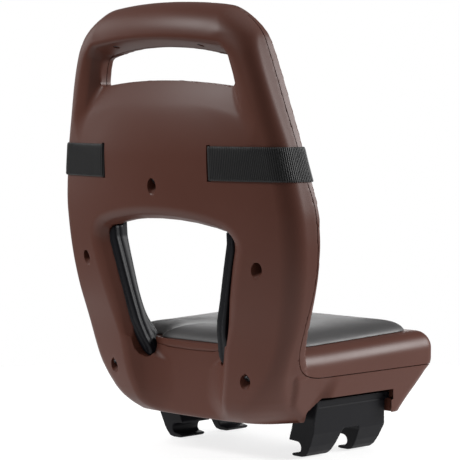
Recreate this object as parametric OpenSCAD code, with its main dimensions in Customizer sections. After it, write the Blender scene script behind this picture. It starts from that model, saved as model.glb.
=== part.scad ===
// Rear child bike seat: two moulded shells, pads, belt and sliding rack clamps.
// X is to the right as seen from behind, Y points forward, Z up. Millimetres.

/* [Shells] */
// Wall thickness of the two mouldings
wall = 3; // [2.5:0.1:3.5]
// Gap along the parting line
part_gap = 0.5; // [0.3:0.1:0.8]
// Radius of the horizontal arc of the back
back_arc_r = 570; // [480:10:700]

/* [Window and hand-hold] */
// Height of the window's lower edge
window_sill_z = 121; // [119:1:123]
// Depth of the flat panel below the window
panel_y = 40.5; // [38:0.5:43]
// Height of the middle of the hand-hold
hand_z = 410.5; // [405:0.5:415]

/* [Screw bores] */
// Radius of the access bores in the back
bore_r = 6.3; // [5.5:0.1:7]
// Radius of the screw shanks
screw_r = 2.25; // [2:0.05:2.5]

/* [Belt] */
// Width of the webbing
belt_w = 35; // [30:1:38]
// Thickness of the webbing
belt_t = 1.6; // [1.2:0.1:2]
// Height of the belt's middle line
belt_z = 310; // [305:1:315]

/* [Rack clamps] */
// Radius of the recess that takes a rack rail
rail_r = 6; // [5.5:0.1:6.5]
// Distance between the two rails, outermost setting
rail_spacing = 183; // [181:1:185]
// Height of the rail's axis above the lowest point
rail_z = 10.5; // [10:0.5:11]
// Inward travel of each clamp
clamp_travel = 20; // [16:1:20]
// Radius of the clamp bolts
bolt_r = 3; // [2.5:0.1:3]

/* [Hidden] */
$fn = 32;
y_shift = 130;
rail_x = rail_spacing / 2;

// Monotone cubic through a table of [position, value]
function seg(t, x, i = 0) = (i >= len(t) - 2 || x < t[i + 1][0]) ? i : seg(t, x, i + 1);
function chord(t, i) = (t[i + 1][1] - t[i][1]) / (t[i + 1][0] - t[i][0]);
function slope(t, i) =
  i == 0 ? chord(t, 0) :
  i == len(t) - 1 ? chord(t, i - 1) :
  let (a = chord(t, i - 1), b = chord(t, i), h = t[i][0] - t[i - 1][0], k = t[i + 1][0] - t[i][0])
  a * b <= 0 ? 0 : 3 * (h + k) / ((2 * k + h) / a + (k + 2 * h) / b);
function pc(t, x) =
  x <= t[0][0] ? t[0][1] :
  x >= t[len(t) - 1][0] ? t[len(t) - 1][1] :
  let (i = seg(t, x), h = t[i + 1][0] - t[i][0], s = (x - t[i][0]) / h)
  (1 + 2 * s) * (1 - s) * (1 - s) * t[i][1] + s * (1 - s) * (1 - s) * h * slope(t, i)
  + s * s * (3 - 2 * s) * t[i + 1][1] + s * s * (s - 1) * h * slope(t, i + 1);

// Outline of the back by height: half width, rearmost line, parting line, front rim
half_w = [[40, 115], [52, 121], [66, 128], [80, 134.5], [88, 138], [98, 141.5], [117, 148], [135, 155],
  [154, 161.5], [172, 167], [190, 171], [204, 173.5], [218, 175], [236, 176], [255, 176], [273, 174],
  [292, 170.5], [310, 167], [328, 163], [347, 157.5], [365, 152], [384, 146.5], [402, 141], [420, 135],
  [434, 130], [448, 124], [455, 119.5], [461, 114], [465, 108], [468, 100], [470, 90], [472, 74], [474, 48], [475, 25]];
rear_y = [[40, 43], [43, 37], [48, 30], [56, 23], [66, 18.5], [85, 14], [117, 10.5], [135, 8], [170, 0.5],
  [204, -5.5], [236, -10], [273, -14], [310, -16], [347, -17.5], [384, -19], [420, -19.7], [440, -20],
  [448, -17.7], [456, -11.5], [464, -2], [470, 7], [475, 16]];
part_y = [[88, 100], [88.5, 88], [91, 75], [96, 64], [103, 57], [117, 50.5], [135, 48.5], [154, 48],
  [172, 49], [190, 50], [204, 50], [218, 49], [236, 48], [255, 46.2], [273, 43.5], [292, 38.1], [310, 34.2],
  [328, 31.4], [347, 29.2], [365, 27], [384, 24.8], [402, 23], [420, 21.6], [434, 20.4], [448, 19], [462, 17.5], [476, 17]];
rim_y = [[40, 110], [117, 62], [135, 57], [154, 55], [172, 54.5], [190, 54.5], [204, 54.3], [218, 53.7], [236, 53],
  [255, 52], [273, 50], [292, 46.5], [310, 43], [328, 40.8], [347, 39], [365, 37.3], [384, 35.5], [402, 33.7],
  [420, 32], [434, 30.5], [448, 29], [462, 25], [470, 21], [475, 18]];
corner_r = [[40, 38], [66, 26], [98, 13], [117, 11], [135, 12], [172, 15], [236, 17], [292, 16], [347, 14], [402, 12], [434, 15], [455, 16], [475, 4]];
pdish = [[100, 0.0006], [150, 0.00132], [360, 0.00132], [384, 0.001], [400, 0.00094], [434, 0.00094], [455, 0.0006], [466, 0], [476, 0]];
dish = [[100, 0.0006], [150, 0.00132], [425, 0.00132], [455, 0.0007], [466, 0], [476, 0]];

// Levels at which the back is cut, closer together where it bends
levels = concat([40, 43, 48, 56, 66, 78, 90], [for (z = [104:16:424]) z], [432, 440, 446, 451, 457, 462, 466, 469, 471.5, 473.5, 475]);

// One horizontal section of the back, inset by t
function section(z, t, n = 10, k = 5) =
  let (w = pc(half_w, z) - t, y0 = pc(rear_y, z) + t, yf = pc(rim_y, z) - t, c = pc(dish, z), yp = min(pc(part_y, z), yf - 4),
    a = 1 / (2 * back_arc_r), rc = min(pc(corner_r, z), w * 0.5), yw0 = y0 + a * w * w + rc,
    wd = w - 0.13 * min(25, max(0, yp - yw0)),
    ry = max(0.4, min(rc, yf - 1.5 - y0 - a * wd * wd)), xr = wd - rc,
    right = [for (i = [0:n]) let (x = xr * i / n) [x, y0 + a * x * x]],
    corner = [for (i = [1:k]) let (g = 90 * i / k, x = xr + rc * sin(g)) [x, y0 + a * x * x + ry * (1 - cos(g))]],
    yw = y0 + a * wd * wd + ry,
    front = [for (i = [0:n]) let (x = (w - min(3, w / 8)) * (1 - i / n)) [x, yf - c * (w * w - x * x)]],
    half = concat(right, corner, [[w, max(yw + 0.2, yp)], [w, max(yw + 0.4, yf - 2.5)]], front))
  concat(half, [for (i = [len(half) - 2:-1:1]) [-half[i][0], half[i][1]]]);

// Closed skin over a stack of rings of equal length
module skin(rings, q = 12) {
  m = len(rings[0]);
  pts = [for (r = rings) each r];
  side = [for (j = [0:len(rings) - 2], i = [0:m - 1]) each let (a = j * m + i, b = j * m + (i + 1) % m)
    [[a, b, b + m], [a, b + m, a + m]]];
  polyhedron(concat(pts, [[0, rings[0][0][1] + q, rings[0][0][2]], [0, (rings[len(rings) - 1][0][1] + rings[len(rings) - 1][floor(m / 2)][1]) / 2, rings[len(rings) - 1][0][2]]]),
    [for (f = concat(side,
      [for (i = [0:m - 1]) [i, len(pts), (i + 1) % m]],
      [for (i = [0:m - 1]) let (o = (len(rings) - 1) * m) [o + i, o + (i + 1) % m, len(pts) + 1]])) [f[0], f[2], f[1]]]);
}

// The back as a solid, inset by t, squeezed by t at both ends
module back_solid(t, zs = levels, n = 9, k = 4) {
  skin([for (z = zs) let (u = 40 + t + (z - 40) * (435 - 2 * t) / 435) [for (p = section(z, t, n, k)) [p[0], p[1], u]]]);
}

// The seat as a solid: rounded outline by height, top rising a little to the front
seat_half = [[40, 129.5], [66, 134.5], [80, 137], [88, 138.2], [98, 138.4], [106, 137.4], [112, 134], [116, 128.5], [118.5, 121], [119.5, 112]];
seat_front = [[40, 236], [52, 246], [66, 259], [80, 271.5], [88, 278.5], [94, 280], [102, 279.5], [109, 276.5], [114, 271], [117.5, 263.5], [119.5, 252]];
seat_back = [[40, 80], [60, 62], [80, 54], [100, 48], [119.5, 46]];
function seat_rise(y, z) = z <= 88 ? 0 : (z - 88) / 31.5 * max(0, (y - 100) / 160) * 5;
function seat_ring(z, t, u) =
  let (w = pc(seat_half, z) - t, f = pc(seat_front, z) - t, r = 13, b = 2.5,
    q = pc(seat_back, z) - (t > 0 ? 14 : 0), qs = pc(seat_back, z) + t,
    half = concat([[0, q], [w * 0.5, q + 1], [w - 14, q + 6], [w - 5, qs + 10], [w, qs + 20]], [for (y = [120:30:210]) [w, y]],
      [for (i = [0:5]) let (g = 90 * i / 5) [w - r + r * cos(g), f - r - b + r * sin(g)]],
      [for (i = [1:4]) let (x = (w - r) * (1 - i / 4)) [x, f - b * pow(x / (w - r), 2)]]))
  [for (p = concat(half, [for (i = [len(half) - 2:-1:1]) [-half[i][0], half[i][1]]])) [p[0], p[1], u + seat_rise(p[1], u)]];
module seat_solid(t) {
  skin([for (z = [40, 52, 66, 80, 88, 94, 100, 106, 111, 114.5, 117, 118.6, 119.5])
    seat_ring(z, t, 40 + t + (z - 40) * (79.5 - 2 * t) / 79.5)]);
}

// Window outline in the XZ plane, d larger all round
function window_pts(d, sill) =
  let (right = [[0, 258 + d * 0.7], [26, 257.3 + d * 0.7], [50, 255 + d * 0.7], [74, 250.5 + d * 0.68], [90, 246 + d * 0.65], [99 + d * 0.4, 241 + d * 0.5],
    [105 + d * 0.75, 234 + d * 0.35], [107.5 + d, 225], [101 + d, 204], [91 + d, 170], [82 + d, 135], [77.5 + d, sill]])
  concat(right, [for (i = [len(right) - 1:-1:1]) [-right[i][0], right[i][1]]]);
module xz_prism(y0, y1) { translate([0, y1, 0]) rotate([90, 0, 0]) linear_extrude(y1 - y0) children(); }
module window_cut(d) {
  xz_prism(-60, 140) polygon(window_pts(d - 10, window_sill_z - d));
  hull() {
    xz_prism(-40, -39) polygon(window_pts(d + 6, window_sill_z - d));
    xz_prism(11, 12) polygon(window_pts(d - 9.9, window_sill_z - d));
  }
  // pockets for the lower ends of the pad's legs
  for (s = [-1, 1]) xz_prism(-60, 46.2 + d) offset(delta = d) polygon([for (p = leg_end) [s * p[0], p[1]]]);
}
leg_end = [[59, 131], [71.3, 131], [70, 118], [67.6, 109], [63, 103], [57.5, 99.4], [53, 99.6], [50.6, 103], [50.8, 110], [53.5, 118]];
// Flat panel below the window, set back between the two pillars
module panel_cut(d) {
  hull() {
    xz_prism(-60, -59) polygon([[-150 - d, 160], [150 + d, 160], [143 + d, 20], [-143 - d, 20]]);
    xz_prism(panel_y - 1 + d, panel_y + d) polygon([[-55 - d, 160], [55 + d, 160], [47 + d, 20], [-47 - d, 20]]);
  }
}
// Hand-hold: a slot through both shells and a funnel from behind
function hand_pts(d) = let (n = 8)
  concat([for (i = [-n:n]) let (s = i / n) [s * (96 + d), hand_z + 16.5 + d - 11 * s * s]],
    [for (i = [n:-1:-n]) let (s = i / n) [s * (101 + d), hand_z - 16.5 - d - 7.4 * s * s]]);
module hand_cut(d) {
  xz_prism(-60, 90) polygon(hand_pts(d));
  for (s = [-1, 1]) hull() {
    xz_prism(-50, -49) polygon([[-s, hand_z + 42 + d], [s * (115 + d * 1.2), hand_z + 34 + d * 1.2], [s * (250 + d * 2), hand_z - 182 - d * 2.2], [-s, hand_z - 137 - d * 2.2]]);
    xz_prism(4, 5) polygon([[-s, hand_z + 16 + d], [s * (96 + d * 1.2), hand_z + 5 + d], [s * (100.5 + d * 1.5), hand_z - 23.6 - d * 2.2], [-s, hand_z - 16 - d * 2.2]]);
  }
}
// Pocket from below in which the clamps slide, seen from the side
function pocket_pts(d) = [[92 - d, 20], [92 - d, 51 + d * 0.4], [105 - d * 0.4, 66 + d], [222 + d, 66 + d], [222 + d, 55 - d * 0.2], [219.6 + d, 54], [219.6 + d, 20]];
module pocket_cut(d) {
  rotate([90, 0, 90]) translate([0, 0, -200]) linear_extrude(400) polygon(pocket_pts(d));
}

// Everything behind or below the parting line, shifted forward by g
function part_ring(z, g) =
  let (w = pc(half_w, z), yp = pc(part_y, z) + g, c = pc(pdish, z), n = 12,
    front = [for (i = [0:2 * n]) let (x = w * (1 - i / n)) [x, yp - c * (w * w - x * x)]])
  concat([[-240, -90], [240, -90], [240, yp]], front, [[-240, yp]]);
module behind(g) {
  translate([-240, -90, 0]) cube([480, 430, 88 + g]);
  skin([for (z = [87, 88.5, 90, 92.5, 96, 101, 108, 117, 127, 145, 172, 204, 236, 255, 273, 292, 310, 328, 365, 402, 434, 448, 462, 480])
    [for (p = part_ring(z, g)) [p[0], p[1], z + min(g, 0.5)]]]);
}
module outer_solid() {
  difference() {
    union() { back_solid(0); seat_solid(0); }
    window_cut(0);
    panel_cut(0);
    hand_cut(0);
    pocket_cut(0);
  }
}
module inner_solid() {
  difference() {
    union() {
      back_solid(wall, concat([40, 48, 66, 82, 93, 104, 116], [for (z = [136:24:424]) z], [438, 450, 459, 466, 470.3]), 7, 3);
      seat_solid(wall);
    }
    window_cut(wall);
    panel_cut(wall);
    hand_cut(wall);
    pocket_cut(wall);
  }
}

// Screw places: x, y and z on the rear face
bores = [[0, -16, 283], [128, 10, 204.5], [-128, 10, 204.5], [99, 19.5, 84], [-99, 19.5, 84]];
handle_bores = [[63.5, -5, 428], [-63.5, -5, 428]];
base_bores = [[70, 252], [-70, 252]];
module place_bore(b) { translate(b) rotate([-45, 0, 0]) children(); }
slot_x = 79;

module rear_shell() color([0.40, 0.27, 0.24]) translate([0, -y_shift, 0])
  resize([0, 0, 0]) difference() {
    union() {
      intersection() { difference() { outer_solid(); inner_solid(); } behind(0); }
      // bosses round the inclined screw bores
      intersection() {
        union() {
          for (b = bores) place_bore(b) translate([0, 0, -8]) cylinder(r = bore_r + 2.2, h = 28, $fn = 24);
          for (b = base_bores) translate([b[0], b[1], 40]) cylinder(r = bore_r + 2.2, h = 44, $fn = 24);
          for (b = handle_bores) translate([b[0], b[1], 422]) cylinder(r = 5.2, h = 12.6, $fn = 24);
        }
        difference() {
          union() { back_solid(1); seat_solid(1); }
          hand_cut(0.02);
        }
        behind(-3);
      }
    }
    for (b = bores) place_bore(b) {
      translate([0, 0, -30]) cylinder(r = bore_r, h = 41, $fn = 24);
      translate([0, 0, 8]) cylinder(r = screw_r + 0.3, h = 30, $fn = 16);
    }
    for (b = base_bores) translate([b[0], b[1], 0]) { cylinder(r = bore_r, h = 70, $fn = 24); translate([0, 0, 60]) cylinder(r = screw_r + 0.3, h = 40, $fn = 16); }
    for (b = handle_bores) translate(b) { translate([0, 0, -14]) cylinder(r = 3.6, h = 18, $fn = 20); cylinder(r = screw_r + 0.3, h = 40, $fn = 16); }
    for (s = [-1, 1]) {
      translate([s * slot_x - 2.2, -40, belt_z - belt_w / 2 - 1]) cube([4.4, 50, belt_w + 2]);
      // holes in the pocket's roof for the bolt heads and plate screws
      for (y = bolt_y) translate([s * bolt_x, y, 60]) cylinder(r = 9, h = 20, $fn = 24);
      for (y = plate_screw_y) translate([s * plate_screw_x, y, 60]) cylinder(r = screw_r - 0.3, h = 20, $fn = 16);
    }
  }

module front_shell() color([0.41, 0.28, 0.25]) translate([0, -y_shift, 0])
  resize([0, 0, 0]) difference() {
    union() {
      difference() { outer_solid(); inner_solid(); behind(part_gap); }
      // lugs that reach back into the hand-hold's bar and take its two screws
      difference() {
        union() {
          intersection() {
            for (b = handle_bores) translate([b[0] - 6.5, -11, 435]) cube([13, 22, 14]);
            back_solid(wall + 1.1);
          }
          intersection() {
            for (b = handle_bores) translate([b[0] - 6.5, 9, 435]) cube([13, 18, 14]);
            back_solid(1);
          }
        }
        hand_cut(wall + 0.3);
      }
      // pillars that take the screws
      intersection() {
        union() {
          for (b = bores) place_bore(b) translate([0, 0, 21]) cylinder(r = 5, h = 40, $fn = 20);
          for (b = base_bores) translate([b[0], b[1], 86]) cylinder(r = 5, h = 50, $fn = 20);
        }
        union() { back_solid(1); seat_solid(1); }
      }
    }
    for (b = bores) place_bore(b) translate([0, 0, 5]) cylinder(r = screw_r + 0.1, h = 23, $fn = 16);
    for (b = base_bores) translate([b[0], b[1], 60]) cylinder(r = screw_r + 0.1, h = 40, $fn = 16);
    for (b = handle_bores) translate(b) cylinder(r = screw_r, h = 22, $fn = 16);
    for (x = [-60, 60], y = [110, 210]) translate([x, y, 100]) cylinder(r = 3.2, h = 40, $fn = 16);
    for (s = [-1, 1], z = [175, 330]) translate([s * pad_stud_x(z), -20, z]) rotate([-90, 0, 0]) cylinder(r = 3.2, h = 90, $fn = 16);
  }
function pad_stud_x(z) = z > 300 ? 80 : 105;

// Back pad: upper cushion and two legs that line the window
module pad_outline() {
  difference() {
    polygon(concat([[0, 372], [60, 370], [96, 362], [112, 350]],
      [for (z = [330:-20:150]) [pc(half_w, z) - 34, z]], [[108, 134], [95, 122.5], [60, 122.5], [-60, 122.5], [-95, 122.5], [-108, 134]],
      [for (z = [150:20:330]) [-pc(half_w, z) + 34, z]], [[-112, 350], [-96, 362], [-60, 370]]));
    polygon([[0, 262], [50, 259.5], [78, 252], [86, 241], [86.5, 228], [79, 200], [70, 170], [64.5, 150], [62, 140], [60, 122], [60, 90],
      [-60, 90], [-60, 122], [-62, 140], [-64.5, 150], [-70, 170], [-79, 200], [-86.5, 228], [-86, 241], [-78, 252], [-50, 259.5]]);
  }
}
function leg_back_y(z) = pc([[97, 38], [105, 36], [114, 30], [124, 25], [136, 20], [170, 16.5], [205, 12], [240, 9], [270, 7]], z);
module back_pad() color([0.13, 0.13, 0.14]) translate([0, -y_shift, 0])
  resize([0, 0, 0]) difference() {
    intersection() {
      xz_prism(-30, 100) { pad_outline(); for (s = [-1, 1]) offset(delta = -0.5) polygon([for (p = leg_end) [s * p[0], p[1]]]); }
      skin([for (z = [88:16:376]) [for (p = pad_ring(z, 10)) [p[0], p[1], z]]]);
    }
    difference() {
      skin([for (z = [72:16:392]) [for (p = pad_ring(z, 0.6)) [p[0], p[1], z]]]);
      // legs reach back into the window
      intersection() {
        xz_prism(-60, 101) { polygon(window_pts(-10.7, window_sill_z + 1.2)); for (s = [-1, 1]) offset(delta = -0.4) polygon([for (p = leg_end) [s * p[0], p[1]]]); }
        skin([for (z = [70:17:325]) [[-200, leg_back_y(z), z], [200, leg_back_y(z), z], [200, 120, z], [-200, 120, z]]]);
      }
    }
    translate([-80, 45.8, 80]) cube([160, 60, 42.3]);
  }
// Section whose front lies g ahead of the front shell
function pad_ring(z, g) =
  let (w = pc(half_w, z), yf = pc(rim_y, z), c = pc(dish, z), n = 9,
    front = [for (i = [0:2 * n]) let (x = (w - 3) * (1 - i / n)) [x, yf + g - c * (w * w - x * x)]],
    rear = [for (i = [0:2 * n]) let (x = (w - 3) * (i / n - 1)) [x, -30]])
  concat(rear, front);

// Seat pad: crowned cushion with soft edges
seat_pad_half = [[0, 118], [4, 121], [8, 119.5], [11, 113], [13, 100], [14.5, 76], [15.2, 50]];
function seat_pad_ring(h) =
  let (s = pc(seat_pad_half, h) - 121, w = 121 + s, f = 258 + s, b = 62 - s * 0.55, r = 15 + s * 0.1,
    half = concat([[0, b - 14], [44, b - 14], [51, b - 12], [56, b - 6], [60, b]], [for (i = [0:4]) let (g = 90 * i / 4) [w - r + r * sin(g), b + r * (1 - cos(g))]],
      [[w, 160]], [for (i = [0:5]) let (g = 90 * i / 5) [w - r + r * cos(g), f - r - 2 + r * sin(g)]],
      [for (i = [1:3]) let (x = (w - r) * (1 - i / 3)) [x, f - 2 * pow(x / (w - r), 2)]]))
  [for (p = concat(half, [for (i = [len(half) - 2:-1:1]) [-half[i][0], half[i][1]]])) [p[0], p[1], 119.9 + h + seat_rise(p[1], 119.5)]];
module seat_pad() color([0.24, 0.24, 0.25]) translate([0, -y_shift, 0])
  skin([for (h = [0, 4, 8, 11, 13, 14.5, 15.2]) seat_pad_ring(h)], 100);

// Rack clamp on the right: profile in XZ, trimmed by its side view
bolt_x = 46;
bolt_y = [128, 196];
plate_screw_x = 78;
plate_screw_y = [112, 210];
module clamp_profile() {
  difference() {
    polygon([[124, 64.3], [116, 26], [106, 5.5], [103.2, 2.6], [97, 0], [86, 0.3], [83.6, 1.4], [84, 3.2],
      [rail_x, rail_z - rail_r - 0.3], [rail_x + 1, rail_z], [rail_x, rail_z + rail_r + 0.4], [81.6, rail_z + rail_r], [81, 18.2], [88, 38], [88, 49.8], [22, 49.8], [22, 57.8], [112, 57.8], [113.5, 64.3]]);
  }
}
module clamp_right_shape() {
  difference() {
    intersection() {
      translate([0, 219, 0]) rotate([90, 0, 0]) linear_extrude(115) clamp_profile();
      rotate([90, 0, 90]) linear_extrude(140) polygon([[107, 64.3], [104.5, 61], [104.5, 42], [106, 26], [108, 0], [141, 0], [145, 3.5],
        [151, 25], [153.5, 28.5], [176, 28.5], [178, 24], [179.5, 0], [210, 0], [214, 3.5], [218.6, 24], [218.8, 27], [215.5, 40], [212.4, 52], [213, 54], [218.6, 54.8], [219, 60], [214, 64.3]]);
    }
    translate([rail_x, 230, rail_z]) rotate([90, 0, 0]) cylinder(r = rail_r, h = 140, $fn = 48);
    translate([70, 100, rail_z - rail_r]) cube([rail_x - 70, 130, 2 * rail_r]);
    // slots that the bolts run in
    for (y = bolt_y) {
      translate([bolt_x, y, 40]) cylinder(r = bolt_r + 0.4, h = 30);
      translate([bolt_x + clamp_travel, y, 40]) cylinder(r = bolt_r + 0.4, h = 30);
      translate([bolt_x, y - bolt_r - 0.4, 40]) cube([clamp_travel, 2 * bolt_r + 0.8, 30]);
    }
  }
}
module clamp_right() color([0.10, 0.10, 0.11]) translate([0, -y_shift, 0]) clamp_right_shape();
module clamp_left() color([0.10, 0.10, 0.11]) translate([0, -y_shift, 0]) mirror([1, 0, 0]) clamp_right_shape();

module carrier_plate() color([0.62, 0.63, 0.65]) translate([0, -y_shift, 0])
  difference() {
    translate([-92, 105.6, 63]) cube([184, 110, 3]);
    for (s = [-1, 1]) {
      for (y = bolt_y) translate([s * bolt_x, y, 60]) cylinder(r = bolt_r + 0.15, h = 10);
      for (y = plate_screw_y) translate([s * plate_screw_x, y, 60]) cylinder(r = screw_r + 0.2, h = 10);
    }
    translate([0, 162, 60]) cylinder(r = 22, h = 10, $fn = 48);
  }
module clamp_bolts() color([0.55, 0.56, 0.58]) translate([0, -y_shift, 0])
  for (s = [-1, 1], y = bolt_y) translate([s * bolt_x, y, 0]) {
    translate([0, 0, 66]) cylinder(r = 7, h = 3.2);
    translate([0, 0, 41]) cylinder(r = bolt_r, h = 26);
  }
module clamp_washers() color([0.7, 0.7, 0.72]) translate([0, -y_shift, 0])
  for (s = [-1, 1], y = bolt_y) translate([s * bolt_x, y, 48]) difference() {
    cylinder(r = 7.5, h = 1.6);
    translate([0, 0, -1]) cylinder(r = bolt_r + 0.2, h = 4);
  }
module clamp_nuts() color([0.6, 0.6, 0.62]) translate([0, -y_shift, 0])
  for (s = [-1, 1], y = bolt_y) translate([s * bolt_x, y, 43]) difference() {
    cylinder(r = 5.77, h = 5, $fn = 6);
    translate([0, 0, -1]) cylinder(r = bolt_r + 0.02, h = 8);
  }
module carrier_screws() color([0.55, 0.56, 0.58]) translate([0, -y_shift, 0])
  for (s = [-1, 1], y = plate_screw_y) translate([s * plate_screw_x, y, 0]) {
    translate([0, 0, 60.4]) cylinder(r1 = 3.4, r2 = 4.4, h = 2.6);
    translate([0, 0, 62.5]) cylinder(r = screw_r - 0.4, h = 10);
  }

// Self-tapping screw, head at the origin, point along +Z
module screw(l) {
  difference() {
    cylinder(r = 4, h = 2.6);
    translate([0, 0, -1]) cylinder(r = 1.5, h = 2.6, $fn = 6);
  }
  translate([0, 0, 2]) cylinder(r = screw_r, h = l - 3);
  translate([0, 0, l - 1.2]) cylinder(r1 = screw_r, r2 = 0.8, h = 2.6);
}
module back_screws() color([0.25, 0.25, 0.26]) translate([0, -y_shift, 0])
  for (b = bores) place_bore(b) translate([0, 0, 8.4]) screw(17);
module handle_screws() color([0.25, 0.25, 0.26]) translate([0, -y_shift, 0])
  for (b = handle_bores) translate([b[0], b[1], b[2] + 1.4]) scale(0.8) screw(20);
module base_screws() color([0.25, 0.25, 0.26]) translate([0, -y_shift, 0])
  for (b = base_bores) translate([b[0], b[1], 67.4]) screw(26);

// Belt path at height z: out of the slot, round the side, to the front
arc = 1 / (2 * back_arc_r);
function face_y(x, z = belt_z) = pc(rear_y, z) + arc * x * x;
lift = belt_t / 2 + 0.4;
belt_y = pc(rim_y, belt_z) + 1 + lift;
function belt_path(z) =
  let (w = pc(half_w, z), yf = pc(rim_y, z), r = pc(corner_r, z), yp = pc(part_y, z), wd = w - 0.13 * min(25, max(0, yp - face_y(w, z) - r)),
    xr = wd - r, yc = face_y(wd, z) + r, y1 = yf + 1.2)
  concat(
    [[66.4, face_y(66) + 8], [72, face_y(72) + 7.6], [76, face_y(76) + 6.2], [78.1, face_y(78, z) + 3.4], [79, face_y(79, z) + 1], [80, face_y(80, z) - 0.6], [81.6, face_y(82, z) - lift]],
    [for (i = [0:4]) let (x = 90 + (xr - 90) * i / 4) [x, face_y(x, z) - lift]],
    [for (i = [1:5]) let (g = 90 * i / 5, x = xr + r * sin(g)) [xr + (r + lift) * sin(g), face_y(x, z) + r - (r + lift) * cos(g)]],
    [[w + lift, max(yp, yc + 3)], [w + lift, yf - 3], [w + lift - 0.2, yf - 1.6], [w + 0.3, yf + 0.1], [w - 1.4, yf + 0.9], [w - 4, y1]],
    [for (x = [152:-14:68]) let (s = max(0, min(1, (150 - x) / 82)), e = s * s * (3 - 2 * s)) [x, y1 * (1 - e) + belt_y * e]],
    [[60, belt_y], [50, belt_y], [39.3, belt_y]]);
module ribbon(side, w, t, m = 4) {
  rows = [for (k = [0:m]) belt_path(belt_z + w * (k / m - 0.5))];
  n = len(rows[0]);
  c = 2 * (m + 1);
  // one loop of points per station: outer face upwards, then inner face downwards
  rings = [for (i = [0:n - 1]) concat(
    [for (k = [0:m]) edge(rows[k], i, t / 2, side, belt_z + w * (k / m - 0.5))],
    [for (k = [m:-1:0]) edge(rows[k], i, -t / 2, side, belt_z + w * (k / m - 0.5))])];
  pts = [for (r = rings) each r];
  quads = concat([for (j = [0:n - 2], i = [0:c - 1]) [j * c + i, (j + 1) * c + i, (j + 1) * c + (i + 1) % c, j * c + (i + 1) % c]],
    [for (k = [0:m - 1]) [k, k + 1, c - 2 - k, c - 1 - k]],
    [for (k = [0:m - 1]) let (o = (n - 1) * c) [o + k + 1, o + k, o + c - 1 - k, o + c - 2 - k]]);
  tri = [for (q = quads) each [[q[0], q[1], q[2]], [q[0], q[2], q[3]]]];
  polyhedron(pts, side > 0 ? [for (q = tri) [q[0], q[2], q[1]]] : tri);
}
function edge(path, i, h, side, z) =
  let (a = path[max(0, i - 1)], b = path[min(len(path) - 1, i + 1)], d = (b - a) / norm(b - a)) [side * (path[i][0] + d[1] * h), path[i][1] - d[0] * h, z];
module belt_right() color([0.08, 0.08, 0.08]) translate([0, -y_shift, 0]) ribbon(1, belt_w, belt_t);
module belt_left() color([0.08, 0.08, 0.08]) translate([0, -y_shift, 0]) ribbon(-1, belt_w, belt_t);
module belt_anchor_bars() color([0.7, 0.7, 0.72]) translate([0, -y_shift, 0])
  for (s = [-1, 1]) translate([s * 63, face_y(63) + 8, belt_z - 24]) cylinder(r = 3, h = 48);

// Belt closure in front of the pad
module buckle_socket() color([0.07, 0.07, 0.08]) translate([0, belt_y - 6.2 - y_shift, belt_z])
  difference() {
    union() {
      translate([-14, 0, -22]) cube([30, 12, 44]);
      translate([14, 2, -21]) cube([24, 3, 42]);
      translate([14, 7.4, -21]) cube([24, 3, 42]);
      translate([35, 2, -21]) cube([4, 8.4, 42]);
    }
    translate([-20, 2.5, -15]) cube([33, 7, 30]);
    for (s = [-1, 1]) translate([-8, 2.5, s * 20 - 6]) cube([14, 7, 12]);
  }
module buckle_tongue() color([0.07, 0.07, 0.08]) translate([0, belt_y - 6.2 - y_shift, belt_z])
  union() {
    translate([-20, 1, -20]) cube([6, 10, 40]);
    translate([-14.5, 4, -4]) cube([24, 4, 8]);
    for (s = [-1, 1]) {
      translate([-14.5, 4, s * 12.2 - 2.4]) cube([16, 4, 4.8]);
      translate([-6, 4, s * 17 - 3.6]) cube([10, 4, 7.2]);
      translate([-38, 2, s * 20 - 1]) cube([20, 3, 2]);
    }
    translate([-38, 1.5, -20.8]) cube([3, 9, 41.6]);
    for (s = [-1, 1]) translate([-38, 1.5, s * 19.6 - 1.4]) cube([20, 9, 2.8]);
  }
// Loop that holds the spare end of the belt
module belt_keeper() color([0.09, 0.09, 0.09]) translate([62, belt_y - y_shift, belt_z])
  difference() {
    translate([-5, -1.9, -19.4]) cube([10, 5.6, 38.8]);
    translate([-6, -1, -17.9]) cube([12, 3.7, 35.8]);
  }
module seat_pad_studs() color([0.12, 0.12, 0.12]) translate([0, -y_shift, 0])
  for (x = [-60, 60], y = [110, 210]) translate([x, y, 0]) {
    translate([0, 0, 113]) cylinder(r = 2.6, h = 6.6 + 0.5 * seat_rise(y, 119.5));
    translate([0, 0, 110]) cylinder(r1 = 1.6, r2 = 3.8, h = 3.2);
  }
module back_pad_studs() color([0.12, 0.12, 0.12]) translate([0, -y_shift, 0])
  for (s = [-1, 1], z = [175, 330]) let (x = pad_stud_x(z), y = pc(rim_y, z) - pc(dish, z) * (pow(pc(half_w, z), 2) - x * x))
    translate([s * x, y - 8, z]) rotate([-90, 0, 0]) { translate([0, 0, 3]) cylinder(r = 2.6, h = 4.6); cylinder(r1 = 1.6, r2 = 3.8, h = 3.2); }

rear_shell();
front_shell();
back_pad();
seat_pad();
clamp_left();
clamp_right();
carrier_plate();
carrier_screws();
clamp_bolts();
clamp_washers();
clamp_nuts();
back_screws();
handle_screws();
base_screws();
belt_anchor_bars();
belt_left();
belt_right();
buckle_socket();
buckle_tongue();
belt_keeper();
seat_pad_studs();
back_pad_studs();
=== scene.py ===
import math
import bpy
import bmesh
import numpy as np
from mathutils import Vector, Matrix


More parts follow.
